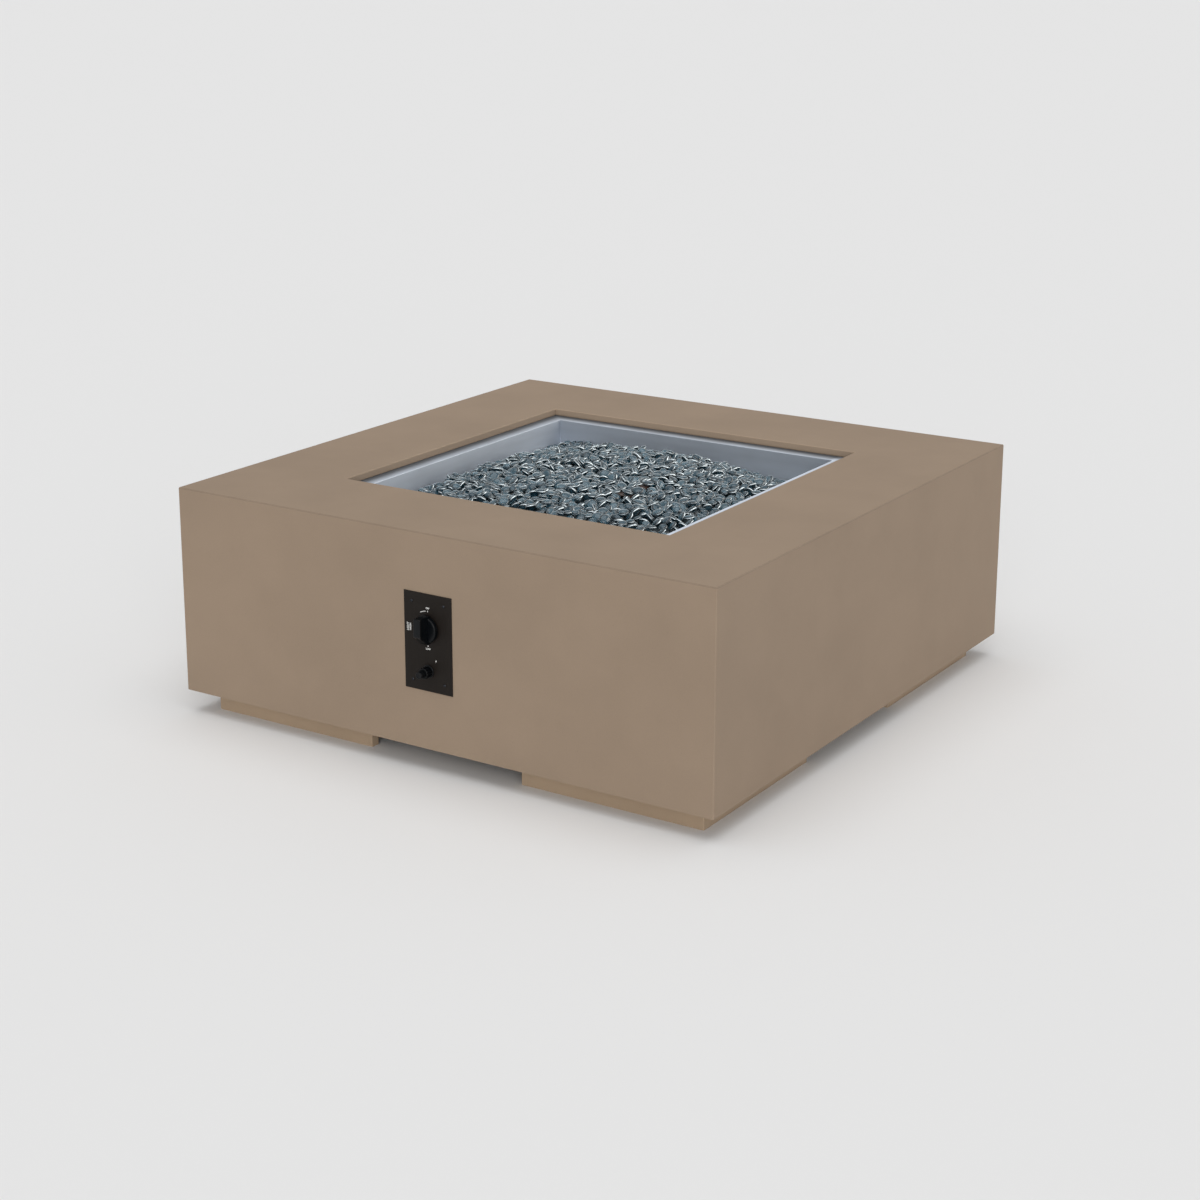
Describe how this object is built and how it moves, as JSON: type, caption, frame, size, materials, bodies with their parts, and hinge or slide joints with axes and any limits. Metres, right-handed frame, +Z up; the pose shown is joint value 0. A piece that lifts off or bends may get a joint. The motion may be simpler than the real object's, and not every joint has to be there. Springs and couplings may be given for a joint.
{
  "type": "gas fire pit table",
  "caption": "Square concrete gas fire pit table on corner plinths, with a steel pan of fire glass, a burner inside and a control panel in front.",
  "frame": {"origin": "on the floor, at the middle of the footprint, where the gas supply comes up", "axes": "+Z up, the control panel faces -Y, +X to the right of someone who faces the panel"},
  "size_m": [1.473, 1.517, 0.564],
  "materials": {
    "cast_concrete": "smooth cast glass-fibre reinforced concrete, matt sealed",
    "zinc_steel": "zinc plated",
    "galvanised_steel": "galvanised",
    "stainless": "satin stainless steel",
    "hood_steel": "heat-tinted stainless steel",
    "fibre_gasket": "black heat-proof gasket tape",
    "fire_glass": "blue-grey tumbled glass",
    "brass": "machined",
    "cast_iron_mixer": "as cast",
    "valve_aluminium": "die cast",
    "hose_steel": "corrugated stainless steel",
    "spring_steel": "drawn wire",
    "panel_black": "matt black powder coat",
    "black_screw": "black oxide",
    "knob_plastic": "satin black phenolic",
    "igniter_plastic": "satin black",
    "battery_wrap": "plain dark sleeve",
    "ceramic": "unglazed alumina",
    "copper_lead": "drawn copper",
    "silicone_lead": "silicone sleeve",
    "clip_plastic": "black nylon"
  },
  "bodies": {
    "table": {"foot_front_left": "cast_concrete", "post_front_left": "galvanised_steel", "foot_front_right": "cast_concrete", "post_front_right": "galvanised_steel", "foot_back_left": "cast_concrete", "post_back_left": "galvanised_steel", "foot_back_right": "cast_concrete", "post_back_right": "galvanised_steel", "bearer_front": "galvanised_steel", "bearer_back": "galvanised_steel", "crossbar_left": "galvanised_steel", "crossbar_right": "galvanised_steel", "shell": "cast_concrete", "foot_bolts": "zinc_steel", "base_bolts": "zinc_steel", "frame_bolts": "zinc_steel", "pan_gasket": "fibre_gasket", "burner_pan": "stainless", "fire_glass": "fire_glass", "burner": "stainless", "burner_feet": "stainless", "pan_screws": "stainless", "burner_nipple": "stainless", "nipple_locknut": "stainless", "air_mixer": "cast_iron_mixer", "orifice_elbow": "brass", "igniter_hood": "hood_steel", "spark_ceramic": "ceramic", "electrode_rod": "stainless", "thermocouple": "stainless", "safety_valve": "valve_aluminium", "valve_spring": "spring_steel", "valve_bracket": "galvanised_steel", "valve_screws": "zinc_steel", "control_panel": "panel_black", "panel_screws": "black_screw", "panel_inserts": "brass", "igniter_body": "igniter_plastic", "igniter_spring": "spring_steel", "igniter_battery": "battery_wrap", "igniter_nut": "igniter_plastic", "control_box": "galvanised_steel", "box_screws": "zinc_steel", "inlet_elbow": "brass", "inlet_bracket": "galvanised_steel", "inlet_union": "brass", "union_locknut": "brass", "supply_hose": "hose_steel", "supply_hose_nuts": "brass", "burner_hose": "hose_steel", "burner_hose_nuts": "brass", "hose_clips": "clip_plastic", "thermocouple_lead": "copper_lead", "ignition_lead": "silicone_lead", "thermocouple_nut": "brass"},
    "valve_plunger": {"valve_plunger": "brass"},
    "knob": {"valve_stem": "brass", "control_knob": "knob_plastic"},
    "igniter_button": {"igniter_button": "igniter_plastic"}
  },
  "joints": [
    {"name": "knob_push", "type": "slide", "parent": "table", "child": "valve_plunger", "axis": [0, 1, 0], "range_m": [0, 0.003], "stiffness_N_per_m": 2500, "springref_m": -0.002, "deforming": ["valve_spring"]},
    {"name": "knob_turn", "type": "hinge", "parent": "valve_plunger", "child": "knob", "pos_m": [0, -0.7425, 0.344], "axis": [0, -1, 0], "range_deg": [0, 180]},
    {"name": "igniter_push", "type": "slide", "parent": "table", "child": "igniter_button", "axis": [0, 1, 0], "range_m": [0, 0.004], "stiffness_N_per_m": 1500, "springref_m": -0.002, "deforming": ["igniter_spring"]}
  ]
}
